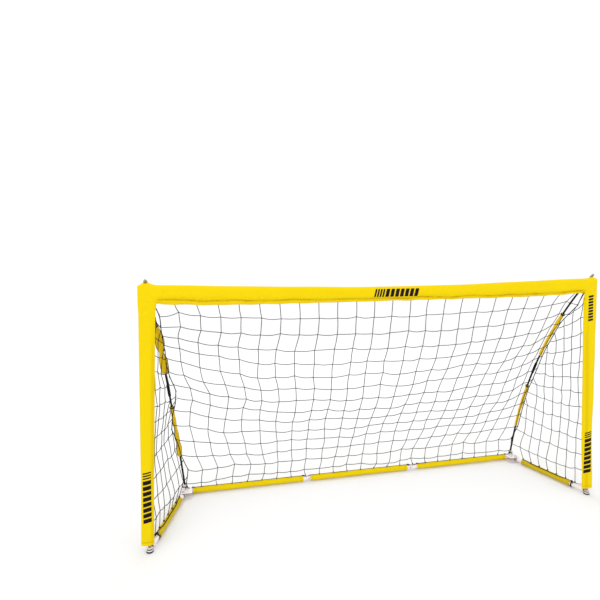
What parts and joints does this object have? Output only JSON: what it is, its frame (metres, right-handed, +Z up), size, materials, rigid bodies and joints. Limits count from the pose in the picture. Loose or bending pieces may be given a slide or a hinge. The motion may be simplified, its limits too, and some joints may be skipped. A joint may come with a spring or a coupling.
{
  "type": "pop up goal",
  "caption": "Folding sports goal: yellow fabric sleeves over bowed fibreglass poles and a hinged steel base, with a square-mesh net behind.",
  "frame": {"origin": "on the ground under the middle of the goal's box", "axes": "+X along the crossbar, +Y from the mouth to the back of the net, +Z up"},
  "size_m": [2.4404, 0.5813, 1.2603],
  "materials": {
    "yellow_polyester": "woven polyester, matt with a slight sheen",
    "net_twine": "knotted dark twine",
    "edge_cord": "braided black cord",
    "white_powder_coat": "satin white powder coat",
    "black_fibreglass": "smooth pultruded fibreglass",
    "bare_steel": "zinc plated",
    "dull_brass": "dull brass",
    "black_rubber": "moulded rubber"
  },
  "bodies": {
    "frame": {"corner_bracket_left": "white_powder_coat", "corner_bracket_right": "white_powder_coat", "crossbar_ferrule": "bare_steel", "crossbar_pole_left": "black_fibreglass", "crossbar_pole_right": "black_fibreglass", "crossbar_sleeve": "yellow_polyester", "hinge_pin_left": "bare_steel", "hinge_pin_right": "bare_steel", "rear_edge_cord": "edge_cord", "rear_net": "net_twine", "rear_sleeve_left": "yellow_polyester", "rear_sleeve_middle": "yellow_polyester", "rear_sleeve_right": "yellow_polyester", "rear_spigot_left": "bare_steel", "rear_spigot_right": "bare_steel", "rear_tube_left": "white_powder_coat", "rear_tube_middle": "white_powder_coat", "rear_tube_right": "white_powder_coat", "seam_cord_left": "edge_cord", "seam_cord_right": "edge_cord", "side_net_left": "net_twine", "side_net_right": "net_twine", "strut_sleeve_lower_left": "yellow_polyester", "strut_sleeve_lower_right": "yellow_polyester", "strut_sleeve_upper_left": "yellow_polyester", "strut_sleeve_upper_right": "yellow_polyester", "strut_socket_left": "white_powder_coat", "strut_socket_right": "white_powder_coat", "top_elbow_left": "bare_steel", "top_elbow_right": "bare_steel", "upright_ferrule_left": "dull_brass", "upright_ferrule_right": "dull_brass", "upright_pole_left": "black_fibreglass", "upright_pole_right": "black_fibreglass", "upright_sleeve_left": "yellow_polyester", "upright_sleeve_right": "yellow_polyester"},
    "side_bar_left": {"side_tube_left": "white_powder_coat", "side_sleeve_left": "yellow_polyester", "hinge_tongue_left": "bare_steel", "side_edge_cord_left": "edge_cord", "foot_cup_left": "white_powder_coat", "rubber_foot_left": "black_rubber"},
    "strut_left": {"strut_pole_lower_left": "black_fibreglass", "strut_pole_upper_left": "black_fibreglass", "strut_ferrule_left": "bare_steel", "strut_cap_left": "dull_brass"},
    "snap_left": {"snap_button_left": "dull_brass", "snap_spring_left": "bare_steel"},
    "side_bar_right": {"side_tube_right": "white_powder_coat", "side_sleeve_right": "yellow_polyester", "hinge_tongue_right": "bare_steel", "side_edge_cord_right": "edge_cord", "foot_cup_right": "white_powder_coat", "rubber_foot_right": "black_rubber"},
    "strut_right": {"strut_pole_lower_right": "black_fibreglass", "strut_pole_upper_right": "black_fibreglass", "strut_ferrule_right": "bare_steel", "strut_cap_right": "dull_brass"},
    "snap_right": {"snap_button_right": "dull_brass", "snap_spring_right": "bare_steel"}
  },
  "joints": [
    {"name": "side_bar_left_fold", "type": "hinge", "parent": "frame", "child": "side_bar_left", "pos_m": [-1.057, 0.2276, 0.0181], "axis": [0, 0, 1], "range_deg": [0, 100]},
    {"name": "side_bar_right_fold", "type": "hinge", "parent": "frame", "child": "side_bar_right", "pos_m": [1.057, 0.2276, 0.0181], "axis": [0, 0, -1], "range_deg": [0, 100]},
    {"name": "strut_left_lift", "type": "hinge", "parent": "frame", "child": "strut_left", "pos_m": [-0.97975, -1.59349, -0.06477], "axis": [0.9918, 0.0279, 0.1249], "range_deg": [0, 1.2]},
    {"name": "strut_right_lift", "type": "hinge", "parent": "frame", "child": "strut_right", "pos_m": [0.97975, -1.59349, -0.06477], "axis": [0.9918, -0.0279, -0.1249], "range_deg": [0, 1.2]},
    {"name": "snap_button_left_press", "type": "slide", "parent": "frame", "child": "snap_left", "axis": [0, 1, 0], "range_m": [0, 0.003], "stiffness_N_per_m": 600, "springref_m": -0.002},
    {"name": "snap_button_right_press", "type": "slide", "parent": "frame", "child": "snap_right", "axis": [0, 1, 0], "range_m": [0, 0.003], "stiffness_N_per_m": 600, "springref_m": -0.002}
  ]
}
